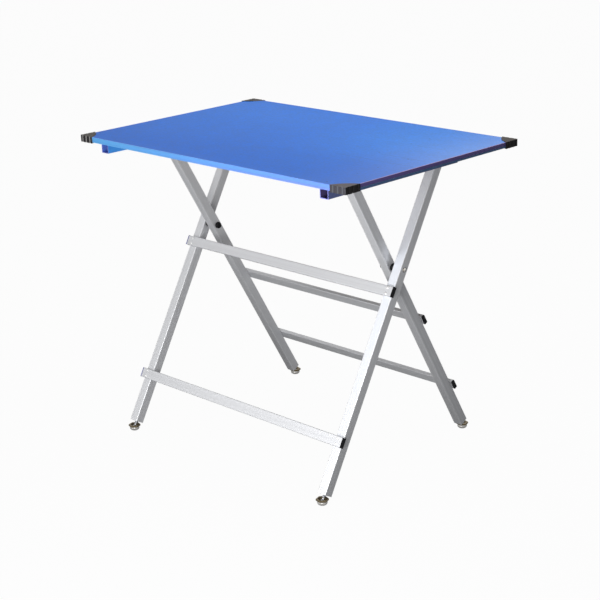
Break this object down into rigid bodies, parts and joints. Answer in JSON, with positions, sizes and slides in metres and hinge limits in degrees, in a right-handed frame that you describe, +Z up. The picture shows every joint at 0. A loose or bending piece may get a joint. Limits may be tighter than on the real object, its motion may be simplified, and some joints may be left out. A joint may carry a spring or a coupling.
{
  "type": "grooming table",
  "caption": "Folding pet grooming table: a flat blue rimmed deck with corner caps on crossed aluminium leg frames with cross rails and levelling feet",
  "frame": {"origin": "on the floor, under the middle of the deck", "axes": "+X along the deck's long edge to the right, +Y from the front edge to the back, +Z up"},
  "size_m": [0.9042, 0.6042, 0.7762],
  "materials": {
    "rim": "blue anodised aluminium extrusion, satin",
    "mat": "blue non-slip mat, low sheen",
    "board": "sealed plywood",
    "corner_caps": "dark grey moulded plastic",
    "support_tubes": "blue anodised square tube, satin",
    "legs": "clear anodised square tube, satin",
    "rails": "clear anodised flat tube, satin",
    "black_plastic": "black moulded plastic",
    "plates": "black powder coat",
    "rods": "bright zinc plated steel",
    "fasteners": "plated steel",
    "pivot_bolts": "nickel plated steel",
    "foot_studs": "zinc plated steel thread",
    "foot_bases": "passivated steel, bronze tint"
  },
  "bodies": {
    "inner_frame": {"inner_leg_left": "legs", "inner_leg_right": "legs", "rear_rail_upper": "rails", "rear_rail_lower": "rails", "rear_rail_plugs": "black_plastic", "rear_rail_rivets": "fasteners", "inner_leg_plugs": "black_plastic", "inner_leg_caps": "black_plastic", "pivot_rod": "rods", "inner_rod_collars": "black_plastic", "cross_bushes": "black_plastic"},
    "outer_frame": {"outer_leg_left": "legs", "outer_leg_right": "legs", "front_rail_upper": "rails", "front_rail_lower": "rails", "front_rail_plugs": "black_plastic", "front_rail_rivets": "fasteners", "outer_leg_plugs": "black_plastic", "outer_leg_caps": "black_plastic", "hook_rod": "rods", "outer_rod_collars": "black_plastic", "cross_bolt_left": "pivot_bolts", "cross_bolt_right": "pivot_bolts", "cross_washers": "pivot_bolts", "cross_spacers": "black_plastic", "cross_nut_left": "black_plastic", "cross_nut_right": "black_plastic"},
    "top": {"deck_board": "board", "deck_mat": "mat", "rim_front": "rim", "rim_rear": "rim", "rim_left": "rim", "rim_right": "rim", "corner_cap_front_left": "corner_caps", "corner_cap_front_right": "corner_caps", "corner_cap_rear_left": "corner_caps", "corner_cap_rear_right": "corner_caps", "corner_cap_screws": "fasteners", "support_tube_left": "support_tubes", "support_tube_right": "support_tubes", "support_tube_screws": "fasteners", "pivot_plate_left": "plates", "pivot_plate_right": "plates", "hook_plate_left": "plates", "hook_plate_right": "plates", "plate_screws": "fasteners"},
    "foot_stud_front_left": {"foot_stud_front_left": "foot_studs"},
    "foot_base_front_left": {"foot_base_front_left": "foot_bases"},
    "foot_stud_front_right": {"foot_stud_front_right": "foot_studs"},
    "foot_base_front_right": {"foot_base_front_right": "foot_bases"},
    "foot_stud_rear_left": {"foot_stud_rear_left": "foot_studs"},
    "foot_base_rear_left": {"foot_base_rear_left": "foot_bases"},
    "foot_stud_rear_right": {"foot_stud_rear_right": "foot_studs"},
    "foot_base_rear_right": {"foot_base_rear_right": "foot_bases"}
  },
  "joints": [
    {"name": "top_fold", "type": "hinge", "parent": "inner_frame", "child": "top", "pos_m": [0, -0.13611, 0.743], "axis": [1, 0, 0], "range_deg": [0, 119.6]},
    {"name": "leg_cross", "type": "hinge", "parent": "inner_frame", "child": "outer_frame", "pos_m": [0, 0, 0.50398], "axis": [1, 0, 0], "range_deg": [0, 55.5]},
    {"name": "level_front_left", "type": "slide", "parent": "outer_frame", "child": "foot_stud_front_left", "axis": [0, -0.4949, -0.869], "range_m": [0, 0.012]},
    {"name": "swivel_front_left", "type": "hinge", "parent": "foot_stud_front_left", "child": "foot_base_front_left", "pos_m": [-0.34, -0.28244, 0.008], "axis": [-1, 0, 0], "range_deg": [-3, 62]},
    {"name": "level_front_right", "type": "slide", "parent": "outer_frame", "child": "foot_stud_front_right", "axis": [0, -0.4949, -0.869], "range_m": [0, 0.012]},
    {"name": "swivel_front_right", "type": "hinge", "parent": "foot_stud_front_right", "child": "foot_base_front_right", "pos_m": [0.34, -0.28244, 0.008], "axis": [-1, 0, 0], "range_deg": [-3, 62]},
    {"name": "level_rear_left", "type": "slide", "parent": "inner_frame", "child": "foot_stud_rear_left", "axis": [0, 0.4949, -0.869], "range_m": [0, 0.012]},
    {"name": "swivel_rear_left", "type": "hinge", "parent": "foot_stud_rear_left", "child": "foot_base_rear_left", "pos_m": [-0.3035, 0.28244, 0.008], "axis": [1, 0, 0], "range_deg": [-3, 62]},
    {"name": "level_rear_right", "type": "slide", "parent": "inner_frame", "child": "foot_stud_rear_right", "axis": [0, 0.4949, -0.869], "range_m": [0, 0.012]},
    {"name": "swivel_rear_right", "type": "hinge", "parent": "foot_stud_rear_right", "child": "foot_base_rear_right", "pos_m": [0.3035, 0.28244, 0.008], "axis": [1, 0, 0], "range_deg": [-3, 62]}
  ],
  "couplings": [
    {"joint": "leg_cross", "follows": "top_fold", "ratio": 0.462}
  ]
}
